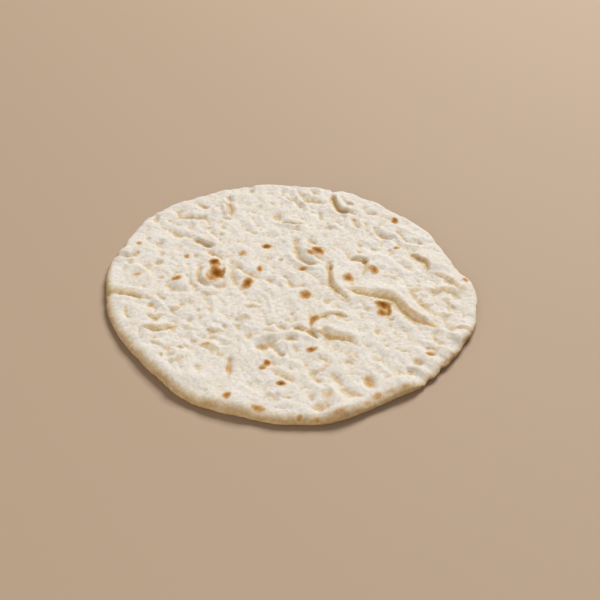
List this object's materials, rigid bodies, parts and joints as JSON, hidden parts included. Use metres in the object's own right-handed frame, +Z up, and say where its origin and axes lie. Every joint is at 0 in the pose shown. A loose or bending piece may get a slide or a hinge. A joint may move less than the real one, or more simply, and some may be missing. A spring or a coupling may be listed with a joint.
{
  "type": "pinsa flatbread",
  "caption": "Round floured pinsa base: a thin baked flatbread with a rounded uneven rim, folded wrinkles, dents and small toasted blisters.",
  "frame": {"origin": "on the resting plane, under the middle of the bread's bounding box", "axes": "+Z up through the bread's thickness, +X to the right and +Y to the far side as the picture shows it"},
  "size_m": [0.2952, 0.3048, 0.0118],
  "materials": {
    "crust": "matt floured bread crust, pale cream with toasted brown spots"
  },
  "bodies": {
    "root": {"pinsa": "crust"}
  },
  "joints": []
}
